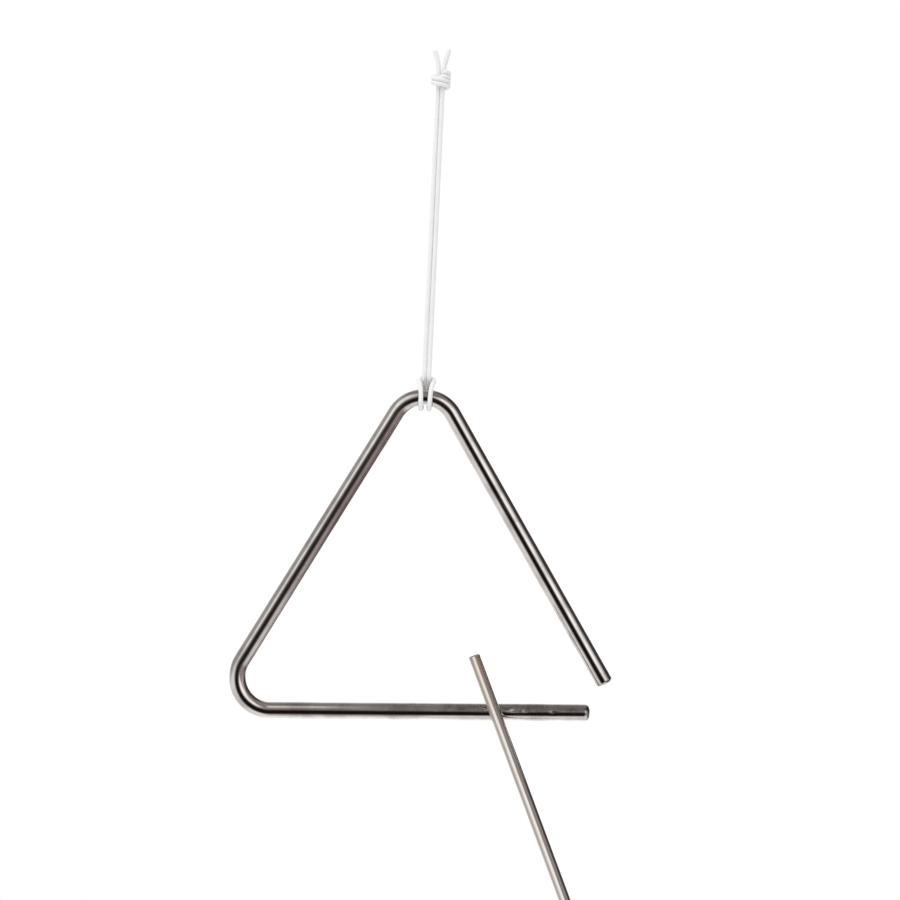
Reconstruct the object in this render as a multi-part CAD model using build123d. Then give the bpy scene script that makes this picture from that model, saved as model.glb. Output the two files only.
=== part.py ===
from build123d import *
import math
import os

# Triangle bar: one round rod, bent twice and left open at the third corner
rod_diameter = 7.0
bend_radius = 13.5
left_leg = 165.3
bottom_leg = 154.4
right_leg = 149.2
apex_angle = 61.4
closed_corner_angle = 58.6
rod_end_rounding = 0.7

# Beater: one straight round rod, laid across the front of the bottom leg
beater_diameter = 4.8
beater_length = 150.0
beater_end_rounding = 0.8
beater_lean = 23.1
beater_tip_past_leg = 25.2
beater_from_free_end = 38.6
beater_to_bar_gap = 0.3

# Cord: one limp cord, doubled, hitched round the bar's top bend and knotted at its ends
cord_diameter = 1.8
turn_gap = 0.3
hitch_to_bar_gap = 0.5
strand_end_gap = 0.3
hang_drop = 130.0
strand_turn_rise = 3.1
arch_rise = 2.5
back_turn_spread = 0.65
arch_spread = 0.6
front_turn_draw_in = 1.7
hitch_lead_in = 4.0
run_arc_share = 0.45
arch_arc_share = 0.55

# Knot: the two ends tied together in one overhand knot, with their tails
knot_radius = 4.3
knot_heart_radius = 3.9
outer_turn_lean = 38.0
inner_turn_lean = -24.0
inner_turn_draw_in = 0.35
tail_length = 9.0
tail_lean = 14.0
tail_end_rounding = 0.3

rod_radius = rod_diameter / 2
beater_radius = beater_diameter / 2
cord_radius = cord_diameter / 2


def tube_along(path, radius):
    """A round bar or cord along a path, with the volume it should have printed beside it."""
    section = Plane(origin=path @ 0, z_dir=path % 0) * Circle(radius)
    tube = sweep(section, path=path)
    print(f"tube volume {tube.volume:.2f}, section times length {math.pi * radius**2 * path.length:.2f}")
    return tube


def bar_corners():
    """The corners of the bar's centreline, flat in XZ, with the apex corner at the origin."""
    half_apex = math.radians(apex_angle / 2)
    left_way = Vector(-math.sin(half_apex), 0, -math.cos(half_apex))
    right_way = Vector(math.sin(half_apex), 0, -math.cos(half_apex))
    bottom_way = (-left_way).rotate(Axis.Y, closed_corner_angle)
    closed_corner = left_way * left_leg
    return [right_way * right_leg, Vector(0, 0, 0), closed_corner, closed_corner + bottom_way * bottom_leg]


def hanging_place(centreline):
    """Moves the bar so that it hangs plumb, its weight under the top of the apex bend."""
    bend_centre = Pos(0, 0, bend_radius / math.sin(math.radians(apex_angle / 2)))
    weight = (bend_centre * centreline).center(CenterOf.MASS)
    plumb_turn = math.degrees(math.atan2(weight.X, -weight.Z))
    print(f"the bar hangs {plumb_turn:.2f} degrees off the apex's middle line")
    return Pos(0, 0, -hang_drop - bend_radius) * Rot(0, plumb_turn, 0) * bend_centre


def triangle_bar(centreline):
    """The bent rod, with the sharp edges of its two sawn ends rounded off."""
    bar = tube_along(centreline, rod_radius)
    ends = [face for face in bar.faces() if face.geom_type == GeomType.PLANE]
    return fillet([edge for face in ends for edge in face.edges()], rod_end_rounding)


def beater(free_end, leg_way):
    """The straight striking rod, a hair in front of the bottom leg that it strikes."""
    lean = math.radians(beater_lean)
    down_way = Vector(math.sin(lean), 0, -math.cos(lean))
    crossing = free_end - leg_way * beater_from_free_end
    in_front = Vector(0, -(rod_radius + beater_to_bar_gap + beater_radius), 0)
    tip = crossing + in_front - down_way * beater_tip_past_leg
    print(f"beater tip {tuple(round(v, 3) for v in tip)}, way {tuple(round(v, 4) for v in down_way)}")
    rod = Cylinder(beater_radius, beater_length, align=(Align.CENTER, Align.CENTER, Align.MIN))
    rod = fillet(rod.edges().filter_by(GeomType.CIRCLE), beater_end_rounding)
    return Plane(origin=tip, z_dir=down_way) * rod


def hitch_route():
    """Half of the girth hitch, about the bar's centre at its top bend, with each corner's radius.

    The strand comes down before the arch, turns over the bar's back, goes under it and up its front,
    and leaves the front for the arch, which lies across the back of both strands.
    """
    turn_radius = rod_radius + hitch_to_bar_gap + cord_radius
    pitch = cord_diameter + turn_gap
    strand_x = pitch / 2
    back_x = strand_x + back_turn_spread
    arch_x = strand_x + pitch + arch_spread
    front_x = arch_x - front_turn_draw_in
    strand_turn_z = turn_radius + strand_turn_rise
    arch_z = turn_radius + arch_rise
    back_touch = math.acos(turn_radius / strand_turn_z)
    arch_y = (pitch + turn_radius - arch_z * math.cos(back_touch)) / math.sin(back_touch)
    arch_reach = math.hypot(arch_y, arch_z)
    front_touch = math.acos(turn_radius / arch_reach) - math.atan2(arch_y, arch_z)
    back_corner_z = turn_radius * math.tan((math.pi / 2 - back_touch) / 2)
    front_corner_z = turn_radius * math.tan((math.pi / 2 - front_touch) / 2)
    points = [
        (strand_x, 0, strand_turn_z + hitch_lead_in),
        (strand_x, 0, strand_turn_z),
        (back_x, turn_radius, back_corner_z),
        (back_x, turn_radius, -turn_radius),
        ((back_x + front_x) / 2, -turn_radius, -turn_radius),
        (front_x, -turn_radius, front_corner_z),
        (arch_x, arch_y, arch_z),
    ]
    strand_arc = run_arc_share * hitch_lead_in / math.tan((math.pi / 2 - back_touch) / 2)
    radii = [strand_arc] + [turn_radius - turn_gap / 2] * 4 + [arch_x * arch_arc_share]
    return points, radii


def least_gap_to_itself(path, diameter):
    """The smallest clear space between two stretches of one tube, measured on points along it."""
    steps = 400
    points = [path.position_at(n / steps) for n in range(steps + 1)]
    far_apart = math.ceil(math.pi * diameter / (path.length / steps))
    apart = [
        (points[n] - other).length
        for n in range(steps + 1)
        for other in points[n + far_apart :]
    ]
    return min(apart) - diameter


def cord_hitch():
    """The girth hitch round the top bend: one unbroken cord from one strand's foot to the other's."""
    half, half_radii = hitch_route()
    other_half = [(-x, y, z) for x, y, z in reversed(half)]
    radii = half_radii + half_radii[::-1]
    path = Pos(0, 0, -hang_drop) * FilletPolyline(*half, *other_half, radius=radii)
    print("hitch radii", [round(r, 2) for r in radii])
    own_gap = least_gap_to_itself(path, cord_diameter)
    print(f"hitch length {path.length:.1f}, least gap to itself {own_gap:.2f}")
    return tube_along(path, cord_radius), Vector(0, 0, -hang_drop) + Vector(*half[0])


def cord_strand(foot):
    """One taut strand, straight from the hitch up to the knot."""
    top = Vector(foot.X, foot.Y, -knot_radius - strand_end_gap)
    return tube_along(Line(foot + Vector(0, 0, strand_end_gap), top), cord_radius)


def cord_knot():
    """The knot that joins the cord's ends: two doubled turns that cross on a heart, and two tails."""
    knot = Sphere(knot_heart_radius)
    for lean, draw_in in ((outer_turn_lean, 0), (inner_turn_lean, inner_turn_draw_in)):
        turn = Torus(math.sqrt((knot_radius - cord_radius - draw_in) ** 2 - cord_radius**2), cord_radius)
        for side in (-1, 1):
            knot += Rot(lean, 0, 0) * Pos(0, 0, side * cord_radius) * turn
    upright = (Align.CENTER, Align.CENTER, Align.MIN)
    tail = Cylinder(cord_radius, knot_radius + tail_length, align=upright)
    tail = fillet(tail.edges().filter_by(GeomType.CIRCLE).sort_by(Axis.Z)[-1], tail_end_rounding)
    for side in (-1, 1):
        knot += Pos(side * cord_radius, 0, 0) * Rot(0, side * tail_lean, 0) * tail
    return knot


os.makedirs("parts", exist_ok=True)
corners = bar_corners()
flat_centreline = FilletPolyline(*corners, radius=bend_radius)
hang = hanging_place(flat_centreline)
free_end = (hang * Pos(*corners[3])).position
closed_corner = (hang * Pos(*corners[2])).position
hitch, right_foot = cord_hitch()
left_foot = Vector(-right_foot.X, right_foot.Y, right_foot.Z)

nodes = {
    "triangle_bar": triangle_bar(hang * flat_centreline),
    "cord_hitch": hitch,
    "strand_left": cord_strand(left_foot),
    "strand_right": cord_strand(right_foot),
    "cord_knot": cord_knot(),
    "beater": beater(free_end, (free_end - closed_corner).normalized()),
}
for name, solid in nodes.items():
    export_step(solid, f"parts/{name}.step")
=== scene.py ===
import bpy
import math
import numpy as np
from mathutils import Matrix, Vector


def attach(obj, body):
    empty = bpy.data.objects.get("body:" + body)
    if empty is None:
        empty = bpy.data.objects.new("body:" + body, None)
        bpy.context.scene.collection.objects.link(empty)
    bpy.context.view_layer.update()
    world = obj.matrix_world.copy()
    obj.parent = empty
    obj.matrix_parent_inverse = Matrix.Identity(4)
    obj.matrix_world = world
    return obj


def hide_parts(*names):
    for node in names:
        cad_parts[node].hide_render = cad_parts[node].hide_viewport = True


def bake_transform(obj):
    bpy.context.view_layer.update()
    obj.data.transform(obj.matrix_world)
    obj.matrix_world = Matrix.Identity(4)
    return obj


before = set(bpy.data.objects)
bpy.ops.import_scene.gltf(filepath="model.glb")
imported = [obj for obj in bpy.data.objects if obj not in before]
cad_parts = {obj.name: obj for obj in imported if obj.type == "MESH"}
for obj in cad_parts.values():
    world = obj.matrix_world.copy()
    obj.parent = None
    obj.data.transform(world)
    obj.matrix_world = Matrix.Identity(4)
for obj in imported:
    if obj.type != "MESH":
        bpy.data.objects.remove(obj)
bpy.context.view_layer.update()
scene = bpy.context.scene
scene.view_settings.view_transform = "Standard"

# Camera: square to the triangle and level with its upper part, a little rolled,
# because in the photograph the cord doesn't hang quite upright.
VIEW_WIDTH = 0.3673
VIEW_DISTANCE = 1.8
VIEW_X = 0.0110
VIEW_Z = -0.1509
VIEW_ROLL = math.radians(-2.757)
camera_data = bpy.data.cameras.new("camera")
camera_data.sensor_width = 36.0
camera_data.lens = camera_data.sensor_width * VIEW_DISTANCE / VIEW_WIDTH
camera = bpy.data.objects.new("camera", camera_data)
camera.location = (VIEW_X, -VIEW_DISTANCE, VIEW_Z)
camera.rotation_euler = (math.radians(90), VIEW_ROLL, 0)
scene.collection.objects.link(camera)
scene.camera = camera


# The cord: one white braided nylon cord, folded in two and hitched round the bar's top bend.
# Both strands hang straight under the knot, turn over the bar's back, come up its front and
# pass behind themselves as one arch, which the bar's weight draws tight.
CORD_RADIUS = 0.00095
CORD_SIDES = 38
RING_SPACING = 0.000125
SPLINE_STEPS = 96
PLAIT_YARNS = 8
PLAIT_LAY = 0.0072
PLAIT_DEPTH = 0.00007
YARN_DIP = 0.45
BEAD_TIP = 0.02
BEAD_REACH = 1.2
BEAD_HEIGHT = 0.75
CORE_HEIGHT = 0.5
# The valley colour is painted shade: the gaps between the yarns are coloured greyer than the
# crowns.
VALLEY_WHITE_PAINTED_SHADE = (0.76, 0.755, 0.76, 1)
CROWN_WHITE = (0.89, 0.89, 0.89, 1)
HANDLED_WHITE = (0.74, 0.72, 0.69, 1)
BAR_TOP = Vector((0, 0, -0.130))


def cord_line(name, route):
    """A cord's centreline: points read from a smooth spline along its route, evenly spaced."""
    line = bpy.data.curves.new(name + "_line", "CURVE")
    line.dimensions = "3D"
    line.resolution_u = SPLINE_STEPS
    spline = line.splines.new("NURBS")
    spline.points.add(len(route) - 1)
    for point, place in zip(spline.points, route):
        point.co = (*place, 1)
    spline.order_u = 3
    spline.use_endpoint_u = True
    carrier = bpy.data.objects.new(name + "_line", line)
    scene.collection.objects.link(carrier)
    bpy.context.view_layer.update()
    read = bpy.data.meshes.new_from_object(carrier)
    points = np.array([v.co for v in read.vertices])
    bpy.data.objects.remove(carrier)
    bpy.data.meshes.remove(read)
    along = np.r_[0, np.cumsum(np.linalg.norm(np.diff(points, axis=0), axis=1))]
    even = np.linspace(0, along[-1], round(along[-1] / RING_SPACING) + 1)
    return np.stack([np.interp(even, along, points[:, axis]) for axis in range(3)], axis=1)


def plait(along, turn):
    """Height of the braided yarns, 0 in the gaps and 1 on the crowns, each over one, under one."""
    one = PLAIT_YARNS * (turn + along / PLAIT_LAY)
    other = PLAIT_YARNS * (turn - along / PLAIT_LAY)
    one_on_top = (np.floor(one) + np.floor(other)) % 2 == 0
    one_off = np.cos(np.pi * (one - np.floor(one) - 0.5))
    other_off = np.cos(np.pi * (other - np.floor(other) - 0.5))
    across = np.where(one_on_top, one_off, other_off)
    lengthwise = np.where(one_on_top, other_off, one_off)
    return np.sqrt(across) * (1 - YARN_DIP + YARN_DIP * lengthwise)


def cord_mesh(name, line, melted_end):
    """A braided tube along a centreline; a melted end is drawn in to a smooth bead."""
    rings = len(line)
    along = np.arange(rings) * RING_SPACING
    ways = np.gradient(line, axis=0)
    ways /= np.linalg.norm(ways, axis=1)[:, None]
    side = np.cross(ways[0], (0, 1, 0) if abs(ways[0][1]) < 0.9 else (1, 0, 0))
    sides = []
    for way in ways:
        side = side - way * (side @ way)
        side /= np.linalg.norm(side)
        sides.append(side)
    sides = np.array(sides)
    fronts = np.cross(ways, sides)
    turn = np.arange(CORD_SIDES) / CORD_SIDES
    height = plait(along[:, None], turn[None, :])
    reach = np.full(rings, 1.0)
    if melted_end:
        left = (along[-1] - along) / CORD_RADIUS
        bead = np.clip(1 - left, 0, 1)
        reach = np.sqrt(np.clip(1 - bead**2, BEAD_TIP, 1))
        height = np.where(left[:, None] < BEAD_REACH, BEAD_HEIGHT, height)
    radius = (CORD_RADIUS - PLAIT_DEPTH * (1 - height)) * reach[:, None]
    round_x = np.cos(2 * np.pi * turn)[None, :, None] * sides[:, None, :]
    round_y = np.sin(2 * np.pi * turn)[None, :, None] * fronts[:, None, :]
    places = line[:, None, :] + radius[..., None] * (round_x + round_y)
    ends = np.stack([line[0], line[-1]])
    first, last = rings * CORD_SIDES, rings * CORD_SIDES + 1
    ring, spoke = np.meshgrid(np.arange(rings - 1), np.arange(CORD_SIDES), indexing="ij")
    here = ring * CORD_SIDES + spoke
    beside = ring * CORD_SIDES + (spoke + 1) % CORD_SIDES
    walls = np.stack([here, beside, beside + CORD_SIDES, here + CORD_SIDES], axis=-1)
    faces = walls.reshape(-1, 4).tolist()
    rim = (rings - 1) * CORD_SIDES
    for n in range(CORD_SIDES):
        after = (n + 1) % CORD_SIDES
        faces.append([first, after, n])
        faces.append([last, rim + n, rim + after])
    mesh = bpy.data.meshes.new(name)
    mesh.from_pydata(np.concatenate([places.reshape(-1, 3), ends]).tolist(), [], faces)
    mesh.polygons.foreach_set("use_smooth", [True] * len(mesh.polygons))
    heights = np.r_[height.ravel(), CORE_HEIGHT, CORE_HEIGHT].astype(np.float32)
    mesh.attributes.new("plait", "FLOAT", "POINT").data.foreach_set("value", heights)
    piece = bpy.data.objects.new(name, mesh)
    scene.collection.objects.link(piece)
    return piece


def add_node(tree, kind, **settings):
    """A shader node; in_X feeds its input X, named or numbered, and the rest set the node."""
    made = tree.nodes.new(kind)
    for key, value in settings.items():
        if not key.startswith("in_"):
            setattr(made, key, value)
            continue
        name = key[3:].replace("_", " ")
        socket = made.inputs[int(name) if name.isdigit() else name]
        if isinstance(value, bpy.types.NodeSocket):
            tree.links.new(value, socket)
        else:
            socket.default_value = value
    return made


def ramp(tree, value, low, high, to_low=0.0, to_high=1.0, kind="SMOOTHSTEP"):
    """Takes a value from between two limits to between 0 and 1, or two other numbers."""
    made = add_node(
        tree,
        "ShaderNodeMapRange",
        interpolation_type=kind,
        in_Value=value,
        in_From_Min=low,
        in_From_Max=high,
        in_To_Min=to_low,
        in_To_Max=to_high,
    )
    return made.outputs["Result"]


def mix_colours(tree, share, one, other):
    """Goes from one colour to the other by a share; each may be an output of another node."""
    made = add_node(
        tree, "ShaderNodeMix", data_type="RGBA", in_Factor=share, in_A=one, in_B=other
    )
    return made.outputs["Result"]


def noise(tree, place, **settings):
    """A noise pattern laid by a place."""
    return add_node(tree, "ShaderNodeTexNoise", in_Vector=place, **settings).outputs["Fac"]


def white_nylon():
    """White nylon yarn: nearly matt, coloured greyer between the yarns as painted shade, faintly
    marked by use.
    """
    material = bpy.data.materials.new("white_nylon_braid")
    material.use_nodes = True
    tree = material.node_tree
    shader = tree.nodes["Principled BSDF"]
    shader.inputs["Specular IOR Level"].default_value = 0.35
    shader.inputs["Sheen Weight"].default_value = 0.15
    shader.inputs["Sheen Roughness"].default_value = 0.4
    crown = add_node(tree, "ShaderNodeAttribute", attribute_name="plait").outputs["Fac"]
    place = add_node(tree, "ShaderNodeTexCoord").outputs["Object"]
    # Painted shade: the gaps between the yarns take the greyer valley colour.
    yarn = mix_colours(tree, crown, VALLEY_WHITE_PAINTED_SHADE, CROWN_WHITE)
    marks = noise(tree, place, in_Scale=90.0, in_Detail=3.0)
    how_marked = ramp(tree, marks, 0.45, 0.8, to_high=0.25, kind="LINEAR")
    handled = mix_colours(tree, how_marked, yarn, HANDLED_WHITE)
    tree.links.new(handled, shader.inputs["Base Color"])
    roughness = ramp(tree, crown, 0.0, 1.0, to_low=0.75, to_high=0.5, kind="LINEAR")
    tree.links.new(roughness, shader.inputs["Roughness"])
    fibre = noise(tree, place, in_Scale=9000.0, in_Detail=2.0)
    fuzz = add_node(
        tree, "ShaderNodeBump", in_Strength=0.25, in_Distance=0.00003, in_Height=fibre
    )
    tree.links.new(fuzz.outputs["Normal"], shader.inputs["Normal"])
    return material


# One half of the route, from the knot down and round to the arch. The other half is its mirror,
# apart from its end, which goes into the knot behind this one.
half_route = [
    (0.00086, -0.00042, 0.1274),
    (0.00097, 0.0, 0.0205),
    (0.00097, 0.0, 0.0140),
    (0.00097, -0.00060, 0.00825),
    (0.00097, 0.00205, 0.00580),
    (0.00105, 0.00465, 0.00250),
    (0.00145, 0.00465, -0.00470),
    (0.00175, -0.00465, -0.00470),
    (0.00195, -0.00465, 0.00240),
    (0.00250, -0.00185, 0.00550),
    (0.00335, 0.00100, 0.00680),
    (0.00230, 0.00300, 0.00790),
]
cord_route = [Vector(place) + BAR_TOP for place in half_route]
cord_route += [Vector((-place.x, place.y, place.z)) for place in reversed(cord_route)]
cord_route[-1].y = -cord_route[0].y
cord_path = cord_line("hanging_cord", cord_route)
hanging_cord = cord_mesh("hanging_cord", cord_path, melted_end=False)
nylon = white_nylon()
hanging_cord.data.materials.append(nylon)
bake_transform(hanging_cord)
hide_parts("strand_left", "strand_right", "cord_hitch")


# The knot: both ends of the cord tied together in one overhand knot, pulled down hard.
# The doubled cord goes up its own middle, once round itself and back up inside the turn,
# and leaves two short tails with their ends melted so that they don't fray.
TURN_REACH = 0.0037
TURN_STEPS = 8
TURN_STEP = math.radians(60)
TURN_TOP = 0.0021
TURN_STEP_DROP = 0.0006
turn_right = [
    (0.00095, -0.0004, -0.0030),
    (0.00095, -0.0010, 0.0008),
    (0.00100, -0.0012, 0.0026),
]
turn_left = [
    (-0.00095, -0.0004, -0.0030),
    (-0.00095, -0.0010, -0.0008),
    (-0.00080, -0.0016, 0.0008),
]
for step in range(TURN_STEPS):
    angle = TURN_STEP * (step - 1)
    height = TURN_TOP - TURN_STEP_DROP * step
    turn_place = (TURN_REACH * math.cos(angle), TURN_REACH * math.sin(angle))
    turn_right.append((*turn_place, height + CORD_RADIUS))
    turn_left.append((*turn_place, height - CORD_RADIUS))
turn_right += [
    (0.0014, 0.0028, -0.0020),
    (0.00095, 0.0010, -0.0014),
    (0.00095, 0.0009, 0.0030),
    (0.00160, 0.0006, 0.0080),
    (0.00300, 0.0002, 0.0126),
]
turn_left += [
    (0.0008, 0.0030, -0.0036),
    (-0.00095, 0.0010, -0.0024),
    (-0.00095, 0.0009, 0.0030),
    (-0.00150, 0.0007, 0.0080),
    (-0.00330, 0.0008, 0.0122),
]
knot_halves = [
    cord_mesh(name, cord_line(name, [Vector(place) for place in route]), melted_end=True)
    for name, route in (("end_knot", turn_right), ("end_knot_other", turn_left))
]
bpy.ops.object.select_all(action="DESELECT")
for half in knot_halves:
    half.select_set(True)
bpy.context.view_layer.objects.active = knot_halves[0]
bpy.ops.object.join()
end_knot = knot_halves[0]
end_knot.data.materials.append(nylon)
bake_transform(end_knot)
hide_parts("cord_knot")


# The bar: one round steel rod, cold bent at two corners and sawn off at the third, its ends
# rounded off, then polished and nickel plated all over. It hangs in the hitch by its top bend.
ROD_RADIUS = 0.0035
ROD_SIDES = 96
BEND_RADIUS = 0.0135
BEND_STEPS = 44
CLOSED_BEND = math.radians(121.4)
TOP_BEND = math.radians(118.6)
BOTTOM_END_ROUNDING = 0.0021
RIGHT_END_ROUNDING = 0.0014
END_STEPS = 9
FLAT_RIM = 0.0001
STRUCK_LENGTH = 0.075
STRUCK_EDGES = (0.070, 0.080)
STRUCK_RINGS = 250
LEG_EDGES = (0.050, 0.130)
LEG_RINGS = 24
SMOOTH_ANGLE = math.radians(40)
DINT_STEEPNESS = 2
LEAST_DINT = 0.000001
FINGERMARK_SHARE = 0.45
bottom_end = Vector((0.0730637, 0, -0.2553599))
closed_bend_starts = Vector((-0.0571784, 0, -0.2604949))
closed_bend_centre = Vector((-0.0577103, 0, -0.2470054))
closed_bend_ends = Vector((-0.0695013, 0, -0.2404312))
top_bend_starts = Vector((-0.0117911, 0, -0.1369258))
top_bend_centre = Vector((0, 0, -0.1435))
top_bend_ends = Vector((0.0114163, 0, -0.1362947))
right_end = Vector((0.0789136, 0, -0.2432391))
bottom_inward = Vector((0, 0, 1))
left_inward = Vector((0.873, 0, -0.487))
right_inward = Vector((-0.846, 0, -0.534))


def push_on(way):
    """Extrudes the selected ring along a way."""
    bpy.ops.mesh.extrude_region_move(TRANSFORM_OT_translate={"value": way})


def inset_ends():
    """Insets a rod's flat ends by a hair, so that smooth shading leaves them flat."""
    bpy.ops.mesh.select_all(action="DESELECT")
    bpy.ops.mesh.select_face_by_sides(number=ROD_SIDES, type="EQUAL")
    bpy.ops.mesh.inset(thickness=FLAT_RIM)


def cut_lengthwise(piece, shortest, longest, cuts):
    """Cuts a rod's lengthwise edges, those with a length in this range, into even steps."""
    bpy.ops.object.mode_set(mode="EDIT")
    bpy.ops.mesh.select_mode(type="EDGE")
    bpy.ops.mesh.select_all(action="DESELECT")
    bpy.ops.object.mode_set(mode="OBJECT")
    for edge in piece.data.edges:
        one, other = (piece.data.vertices[n].co for n in edge.vertices)
        edge.select = shortest < (one - other).length < longest
    bpy.ops.object.mode_set(mode="EDIT")
    bpy.ops.mesh.subdivide(number_cuts=cuts)
    bpy.ops.mesh.select_mode(type="VERT")
    bpy.ops.object.mode_set(mode="OBJECT")


leg_way = (closed_bend_starts - bottom_end).normalized()
bpy.ops.object.select_all(action="DESELECT")
bpy.ops.mesh.primitive_circle_add(
    vertices=ROD_SIDES,
    radius=ROD_RADIUS,
    location=bottom_end,
    rotation=(0, math.atan2(leg_way.x, leg_way.z), 0),
)
bent_bar = bpy.context.object
bent_bar.name = bent_bar.data.name = "bent_bar"
bpy.ops.object.transform_apply(location=True, rotation=True, scale=True)
bpy.ops.object.mode_set(mode="EDIT")
bpy.ops.mesh.select_all(action="SELECT")
push_on(leg_way * STRUCK_LENGTH)
push_on(closed_bend_starts - bottom_end - leg_way * STRUCK_LENGTH)
bpy.ops.mesh.spin(
    steps=BEND_STEPS, angle=CLOSED_BEND, center=closed_bend_centre, axis=(0, -1, 0)
)
push_on(top_bend_starts - closed_bend_ends)
bpy.ops.mesh.spin(steps=BEND_STEPS, angle=TOP_BEND, center=top_bend_centre, axis=(0, -1, 0))
push_on(right_end - top_bend_ends)
bpy.ops.mesh.edge_face_add()
bpy.ops.mesh.bevel(offset=RIGHT_END_ROUNDING, segments=END_STEPS, affect="EDGES")
bpy.ops.mesh.select_all(action="DESELECT")
bpy.ops.mesh.select_non_manifold()
bpy.ops.mesh.edge_face_add()
bpy.ops.mesh.bevel(offset=BOTTOM_END_ROUNDING, segments=END_STEPS, affect="EDGES")
bpy.ops.mesh.select_all(action="SELECT")
bpy.ops.mesh.normals_make_consistent(inside=False)
inset_ends()
bpy.ops.object.mode_set(mode="OBJECT")
cut_lengthwise(bent_bar, *STRUCK_EDGES, STRUCK_RINGS)
cut_lengthwise(bent_bar, *LEG_EDGES, LEG_RINGS)
bpy.ops.object.shade_smooth_by_angle(angle=SMOOTH_ANGLE)


def rod_places(points, legs, bends):
    """Where points of a bent rod would be were it straight: along it, then across it both ways."""
    best = np.full(len(points), np.inf)
    places = np.zeros((len(points), 3))

    def keep(gap, along, inward, depth):
        nearer = gap < best
        best[nearer] = gap[nearer]
        places[nearer] = np.stack([along, inward, depth], axis=1)[nearer]

    for start, end, before, inner in legs:
        way = np.array((end - start).normalized())
        past_end = (end - start).length + ROD_RADIUS
        along = np.clip((points - np.array(start)) @ way, -ROD_RADIUS, past_end)
        off = points - np.array(start) - along[:, None] * way
        keep(np.linalg.norm(off, axis=1), before + along, off @ np.array(inner), points[:, 1])
    for centre, start, angle, before in bends:
        arm = points - np.array(centre)
        first = start - centre
        swept = np.arctan2(arm[:, 2], arm[:, 0]) - math.atan2(first.z, first.x)
        swept = (-swept) % (2 * np.pi)
        reach = np.hypot(arm[:, 0], arm[:, 2])
        gap = np.hypot(reach - BEND_RADIUS, arm[:, 1])
        gap[swept > angle] = np.inf
        keep(gap, before + swept * BEND_RADIUS, BEND_RADIUS - reach, points[:, 1])
    return places


def vertex_places(piece):
    """All vertices of a piece, one row each."""
    places = np.empty(len(piece.data.vertices) * 3)
    piece.data.vertices.foreach_get("co", places)
    return places.reshape(-1, 3)


def set_rod_places(piece, places):
    """Keeps the straightened places on the mesh, for the plate's pattern to follow."""
    laid = piece.data.attributes.new("rod_place", "FLOAT_VECTOR", "POINT")
    laid.data.foreach_set("vector", places.astype(np.float32).ravel())


closed_from = (closed_bend_starts - bottom_end).length
left_from = closed_from + CLOSED_BEND * BEND_RADIUS
top_from = left_from + (top_bend_starts - closed_bend_ends).length
right_from = top_from + TOP_BEND * BEND_RADIUS
bar_places = rod_places(
    vertex_places(bent_bar),
    [
        (bottom_end, closed_bend_starts, 0, bottom_inward),
        (closed_bend_ends, top_bend_starts, left_from, left_inward),
        (top_bend_ends, right_end, right_from, right_inward),
    ],
    [
        (closed_bend_centre, closed_bend_starts, CLOSED_BEND, closed_from),
        (top_bend_centre, top_bend_starts, TOP_BEND, top_from),
    ],
)

# Shallow dints that the beater has left on the front of the bottom leg, each by its distance
# from the free end, its place up the front, its length, its width and its depth.
dints = [
    (0.0058, 0.0003, 0.0007, 0.0005, 0.00005),
    (0.0102, 0.0009, 0.0009, 0.0004, 0.00004),
    (0.0149, 0.0003, 0.0013, 0.0011, 0.00016),
    (0.0183, 0.0011, 0.0006, 0.0004, 0.00004),
    (0.0227, 0.0007, 0.0008, 0.0004, 0.00004),
    (0.0263, 0.0008, 0.0017, 0.0009, 0.00014),
    (0.0287, 0.0003, 0.0007, 0.0005, 0.00004),
    (0.0305, 0.0010, 0.0025, 0.0010, 0.00024),
    (0.0332, 0.0004, 0.0008, 0.0006, 0.00005),
    (0.0339, 0.0013, 0.0006, 0.0004, 0.00004),
    (0.0418, 0.0009, 0.0009, 0.0005, 0.00006),
    (0.0436, 0.0004, 0.0007, 0.0004, 0.00004),
    (0.0512, 0.0008, 0.0010, 0.0004, 0.00004),
    (0.0625, 0.0006, 0.0008, 0.0004, 0.00003),
]
on_front = bar_places[:, 2] < 0
pressed = np.zeros(len(bar_places))
for from_end, up_front, length, width, depth in dints:
    off_along = (bar_places[:, 0] - from_end) / length
    off_across = (bar_places[:, 1] - up_front) / width
    pressed += depth * np.exp(-DINT_STEEPNESS * (off_along**2 + off_across**2)) * on_front
for vertex, place, depth in zip(bent_bar.data.vertices, bar_places, pressed):
    if depth > LEAST_DINT:
        outward = Vector((0, place[2], place[1])).normalized()
        vertex.co -= outward * float(depth)
set_rod_places(bent_bar, bar_places)


def reckon(tree, operation, *values, **settings):
    """The result of a sum on two or three values, each a number or an output."""
    inputs = {f"in_{n}": value for n, value in enumerate(values)}
    made = add_node(tree, "ShaderNodeMath", operation=operation, **inputs, **settings)
    return made.outputs[0]


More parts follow.
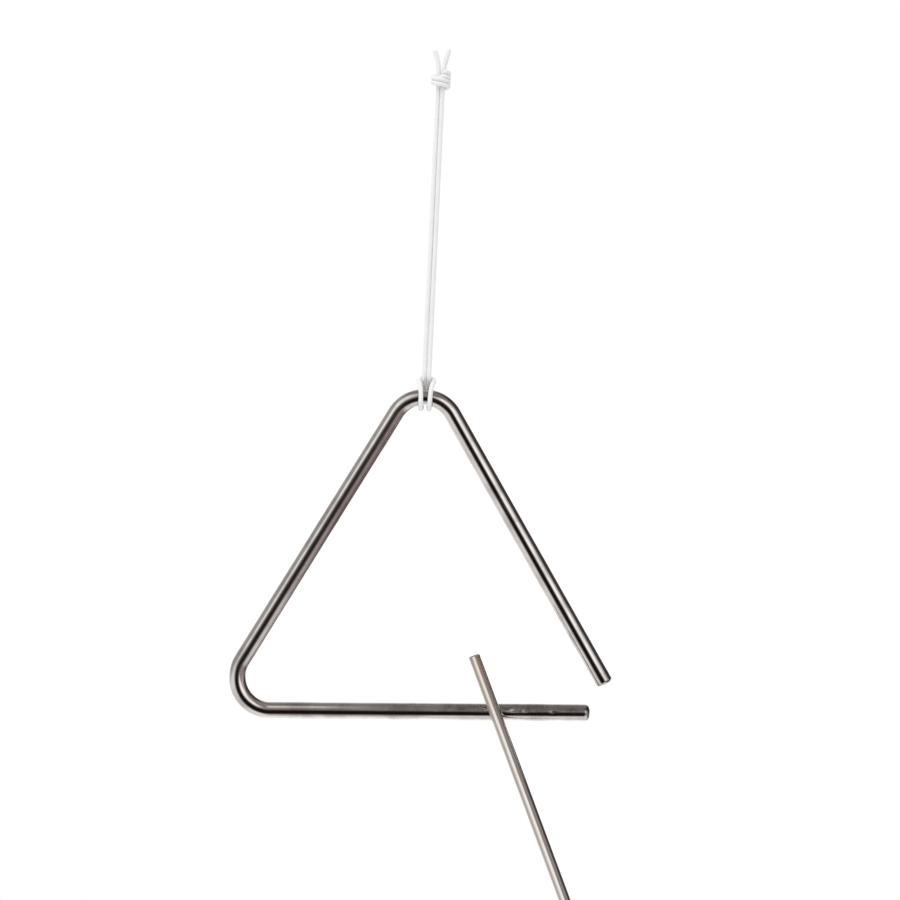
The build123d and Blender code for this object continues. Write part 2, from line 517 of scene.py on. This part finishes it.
def nickel_plate(name, colour, wear_and_reflection_colour, rough, worn_rough, struck, struck_side, line_depth):
    """Polished nickel plate on steel, with polishing lines, fingermarks and struck places.

    The plate is worn up to the first distance from the rod's end in struck and sound from the
    second on, and across the rod it is sound before the first place in struck_side and worn
    past the second; there its colour is wear, and on the bar a painted dark reflection too.
    """
    material = bpy.data.materials.new(name)
    material.use_nodes = True
    tree = material.node_tree
    shader = tree.nodes["Principled BSDF"]
    shader.inputs["Metallic"].default_value = 1.0
    laid = add_node(tree, "ShaderNodeAttribute", attribute_name="rod_place").outputs["Vector"]
    apart = add_node(tree, "ShaderNodeSeparateXYZ", in_Vector=laid)
    lengthwise = add_node(tree, "ShaderNodeMapping", in_Vector=laid, in_Scale=(0.012, 1, 1))
    aslant = add_node(
        tree, "ShaderNodeMapping", in_Vector=laid, in_Scale=(0.05, 1, 1), in_Rotation=(0.5, 0, 0.9)
    )
    touched = noise(tree, laid, in_Scale=70.0, in_Detail=5.0, in_Roughness=0.65)
    fingermarks = ramp(tree, touched, 0.42, 0.72)
    lines = noise(
        tree, lengthwise.outputs["Vector"], in_Scale=6500.0, in_Detail=3.0, in_Roughness=0.7
    )
    scratch = noise(tree, aslant.outputs["Vector"], in_Scale=900.0, in_Detail=1.0)
    scratched = ramp(tree, scratch, 0.66, 0.74)
    near_end = ramp(tree, apart.outputs["X"], struck[1], struck[0])
    inner_side = ramp(tree, apart.outputs["Y"], *struck_side)
    struck_there = reckon(tree, "MULTIPLY", near_end, inner_side)
    spots = noise(tree, laid, in_Scale=420.0, in_Detail=4.0)
    spotted = ramp(tree, spots, 0.5, 0.75, to_low=0.6)
    worn = reckon(tree, "MULTIPLY", struck_there, spotted)
    marks = reckon(
        tree, "MULTIPLY_ADD", fingermarks, FINGERMARK_SHARE, worn, use_clamp=True
    )
    # Fingermarks and the struck place take the worn colour. On the beater it is worn plate; on the
    # bar it is worn plate darkened much further as a painted dark reflection.
    tint = mix_colours(tree, marks, (*colour, 1), (*wear_and_reflection_colour, 1))
    tree.links.new(tint, shader.inputs["Base Color"])
    dulled = reckon(tree, "MAXIMUM", marks, scratched)
    roughness = ramp(tree, dulled, 0.0, 1.0, rough, worn_rough, kind="LINEAR")
    tree.links.new(roughness, shader.inputs["Roughness"])
    relief = reckon(tree, "SUBTRACT", lines, scratched)
    bump = add_node(
        tree, "ShaderNodeBump", in_Strength=0.35, in_Distance=line_depth, in_Height=relief
    )
    tree.links.new(bump.outputs["Normal"], shader.inputs["Normal"])
    return material


bent_bar.data.materials.append(
    nickel_plate(
        "nickel_plate_bar",
        colour=(0.68, 0.655, 0.635),
        # Dark and pinkish: worn plate darkened further as a painted dark reflection along the top
        # of the bottom leg near its end.
        wear_and_reflection_colour=(0.22, 0.19, 0.19),
        rough=0.07,
        worn_rough=0.2,
        struck=(0.03, 0.11),
        struck_side=(-0.0008, 0.0010),
        line_depth=0.000002,
    )
)
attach(bent_bar, "triangle")
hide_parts("triangle_bar")


# The beater: a straight round steel rod, turned true, its ends rounded over, nickel plated
# like the bar but worn to a satin shine. It is loose, and lies across the bar's front.
BEATER_RADIUS = 0.0024
BEATER_LENGTH = 0.150
BEATER_ROUNDING = 0.0008
BEATER_END_STEPS = 6
BEATER_EDGES = (0.1, 0.2)
BEATER_RINGS = 60
SLANT = math.radians(22)
beater_tip = Vector((0.024607, -0.0062, -0.233701))
beater_way = Vector((0.392337, 0, -0.919821))
beater_across = Vector((-beater_way.z, 0, beater_way.x))
bpy.ops.object.select_all(action="DESELECT")
bpy.ops.mesh.primitive_cylinder_add(
    vertices=ROD_SIDES,
    radius=BEATER_RADIUS,
    depth=BEATER_LENGTH,
    location=beater_tip + beater_way * (BEATER_LENGTH / 2),
    rotation=(0, math.atan2(-beater_way.x, -beater_way.z), 0),
)
striking_rod = bpy.context.object
striking_rod.name = striking_rod.data.name = "striking_rod"
bpy.ops.object.mode_set(mode="EDIT")
bpy.ops.mesh.select_mode(type="FACE")
bpy.ops.mesh.select_all(action="DESELECT")
bpy.ops.mesh.select_face_by_sides(number=ROD_SIDES, type="EQUAL")
bpy.ops.mesh.bevel(offset=BEATER_ROUNDING, segments=BEATER_END_STEPS, affect="EDGES")
inset_ends()
bpy.ops.object.mode_set(mode="OBJECT")
cut_lengthwise(striking_rod, *BEATER_EDGES, BEATER_RINGS)
bpy.ops.object.shade_smooth_by_angle(angle=SMOOTH_ANGLE)
bpy.ops.object.transform_apply(location=True, rotation=True, scale=True)
from_tip = vertex_places(striking_rod) - np.array(beater_tip)
beater_places = np.stack(
    [from_tip @ np.array(beater_way), from_tip @ np.array(beater_across), from_tip[:, 1]], axis=1
)
set_rod_places(striking_rod, beater_places)
satin_plate = nickel_plate(
    "nickel_plate_beater",
    colour=(0.76, 0.735, 0.71),
    wear_and_reflection_colour=(0.70, 0.63, 0.55),
    rough=0.09,
    worn_rough=0.2,
    struck=(0.004, 0.045),
    struck_side=(-0.01, -0.005),
    line_depth=0.0000006,
)
# In the photograph the beater is aslant, its tip farther off than its lower end, so it shows the
# light above it. Here it lies level with the bar to swing free, and its shading has that slant.
tree = satin_plate.node_tree
facing = add_node(tree, "ShaderNodeNewGeometry").outputs["Normal"]
lean = add_node(
    tree,
    "ShaderNodeVectorTransform",
    convert_from="OBJECT",
    convert_to="WORLD",
    in_Vector=-beater_way * math.tan(SLANT),
)
leaning = add_node(
    tree, "ShaderNodeVectorMath", operation="ADD", in_0=facing, in_1=lean.outputs["Vector"]
)
slanted = add_node(
    tree, "ShaderNodeVectorMath", operation="NORMALIZE", in_0=leaning.outputs["Vector"]
)
tree.links.new(slanted.outputs["Vector"], tree.nodes["Bump"].inputs["Normal"])
striking_rod.data.materials.append(satin_plate)
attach(striking_rod, "beater")
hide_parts("beater")


# The studio: a white floor that fades out at its rim, under a white room with soft bright
# and dark panels, which is what polished metal shows, two soft cards and one broad lamp.
FLOOR_RADIUS = 0.62
FLOOR_SOLID = 0.2
FLOOR_WHITE = (0.94, 0.94, 0.94, 1)
ROOM_SHOWN = (1.42, 1.40, 1.39, 1)
ROOM_LIGHT = (0.86, 0.86, 0.865, 1)
WHITE = (1, 1, 1, 1)


def fade_between(tree, share, one, other):
    """Goes from one surface to the other by a share."""
    made = add_node(tree, "ShaderNodeMixShader", in_Fac=share, in_1=one, in_2=other)
    return made.outputs["Shader"]


bpy.ops.object.select_all(action="DESELECT")
bpy.ops.mesh.primitive_circle_add(vertices=96, radius=FLOOR_RADIUS, fill_type="NGON")
floor = bpy.context.object
floor.name = "floor"
floor.location = (0.006, 0, -0.402)
floor.visible_glossy = False
floor_paint = bpy.data.materials.new("floor_white")
floor_paint.use_nodes = True
tree = floor_paint.node_tree
tree.nodes.clear()
place = add_node(tree, "ShaderNodeTexCoord").outputs["Object"]
reach = add_node(tree, "ShaderNodeVectorMath", operation="LENGTH", in_0=place)
fade = ramp(tree, reach.outputs["Value"], FLOOR_SOLID, FLOOR_RADIUS)
paint = add_node(tree, "ShaderNodeBsdfDiffuse", in_Color=FLOOR_WHITE).outputs["BSDF"]
clear = add_node(tree, "ShaderNodeBsdfTransparent").outputs["BSDF"]
add_node(tree, "ShaderNodeOutputMaterial", in_Surface=fade_between(tree, fade, paint, clear))
floor.data.materials.append(floor_paint)

room = bpy.data.worlds.new("white_room")
scene.world = room
room.use_nodes = True
tree = room.node_tree
tree.nodes.clear()
ray = add_node(tree, "ShaderNodeLightPath")
gaze = add_node(tree, "ShaderNodeTexCoord").outputs["Generated"]
# Each panel has a direction, the angles at which it is full and gone, and its colour.
panels = [
    ((-0.353, -0.428, 0.832), 40, 110, (0.315, 0.285, 0.275)),
    ((-0.881, -0.023, -0.473), 40, 75, (0.98, 0.955, 0.945)),
    ((0.659, -0.527, -0.536), 30, 62, (0.37, 0.30, 0.295)),
    ((0.820, 0.239, -0.520), 14, 40, (0.13, 0.105, 0.105)),
    ((-0.868, 0.127, 0.480), 20, 45, (0.43, 0.43, 0.42)),
    ((0.796, 0.350, 0.494), 28, 50, (0.06, 0.055, 0.054)),
    ((-0.507, -0.616, 0.604), 16, 27, (1.16, 1.12, 1.09)),
    ((0.429, -0.848, 0.312), 12, 26, (1.36, 1.32, 1.30)),
    ((-0.116, -0.936, -0.333), 15, 43, (0.010, 0.008, 0.008)),
]
shown = ROOM_SHOWN
for way, full, gone, colour in panels:
    facing = add_node(
        tree,
        "ShaderNodeVectorMath",
        operation="DOT_PRODUCT",
        in_0=gaze,
        in_1=Vector(way).normalized(),
    )
    gone_at, full_at = math.cos(math.radians(gone)), math.cos(math.radians(full))
    share = ramp(tree, facing.outputs["Value"], gone_at, full_at)
    shown = mix_colours(tree, share, shown, (*colour, 1))
lit = mix_colours(tree, ray.outputs["Is Glossy Ray"], ROOM_LIGHT, shown)
seen = reckon(
    tree, "MAXIMUM", ray.outputs["Is Camera Ray"], ray.outputs["Is Transmission Ray"]
)
behind = mix_colours(tree, seen, lit, WHITE)
glow = add_node(tree, "ShaderNodeBackground", in_Color=behind).outputs["Background"]
add_node(tree, "ShaderNodeOutputWorld", in_Surface=glow)


def soft_card(name, centre, turn, size, fades, colour):
    """A glowing card that only polished metal shows, fading out to its edges.

    A fade is an axis of the card, where along it the card is gone and where it is full.
    """
    bpy.ops.object.select_all(action="DESELECT")
    bpy.ops.mesh.primitive_plane_add(size=1, location=centre, rotation=turn, scale=(*size, 1))
    card = bpy.context.object
    card.name = card.data.name = name
    bpy.ops.object.transform_apply(location=False, rotation=False, scale=True)
    card.visible_camera = False
    card.visible_diffuse = False
    card.visible_transmission = False
    card.visible_shadow = False
    glowing = bpy.data.materials.new(name)
    glowing.use_nodes = True
    tree = glowing.node_tree
    tree.nodes.clear()
    place = add_node(tree, "ShaderNodeTexCoord").outputs["Object"]
    apart = add_node(tree, "ShaderNodeSeparateXYZ", in_Vector=place)
    clear = add_node(tree, "ShaderNodeBsdfTransparent").outputs["BSDF"]
    shown = add_node(tree, "ShaderNodeEmission", in_Color=(*colour, 1)).outputs["Emission"]
    for axis, gone, full in fades:
        share = ramp(tree, apart.outputs[axis], gone, full)
        shown = fade_between(tree, share, clear, shown)
    add_node(tree, "ShaderNodeOutputMaterial", in_Surface=shown)
    card.data.materials.append(glowing)


# One card lights the left leg's inner side towards its foot, from the right and below. The other
# lights the top of the bottom leg beside the closed bend, from above and in front.
soft_card(
    "left_leg_card",
    centre=(0.2717, -0.25, -0.4494),
    turn=(0, math.radians(119.15), 0),
    size=(0.17, 0.90),
    fades=[("X", -0.085, 0.035), ("Y", -0.45, 0.0), ("Y", 0.45, 0.32)],
    colour=(0.95, 0.93, 0.94),
)
soft_card(
    "bottom_leg_card",
    centre=(-0.074, -0.290, 0.087),
    turn=(math.radians(40), 0, 0),
    size=(0.08, 0.30),
    fades=[("X", 0.040, 0.0), ("X", -0.040, -0.015), ("Y", -0.15, -0.05), ("Y", 0.15, 0.06)],
    colour=(0.87, 0.78, 0.73),
)

lamp_data = bpy.data.lights.new("broad_lamp", "SUN")
lamp_data.energy = 1.0
lamp_data.angle = math.radians(50)
lamp = bpy.data.objects.new("broad_lamp", lamp_data)
lamp.rotation_euler = (math.radians(38), math.radians(-12), math.radians(-24))
lamp.visible_glossy = False
scene.collection.objects.link(lamp)
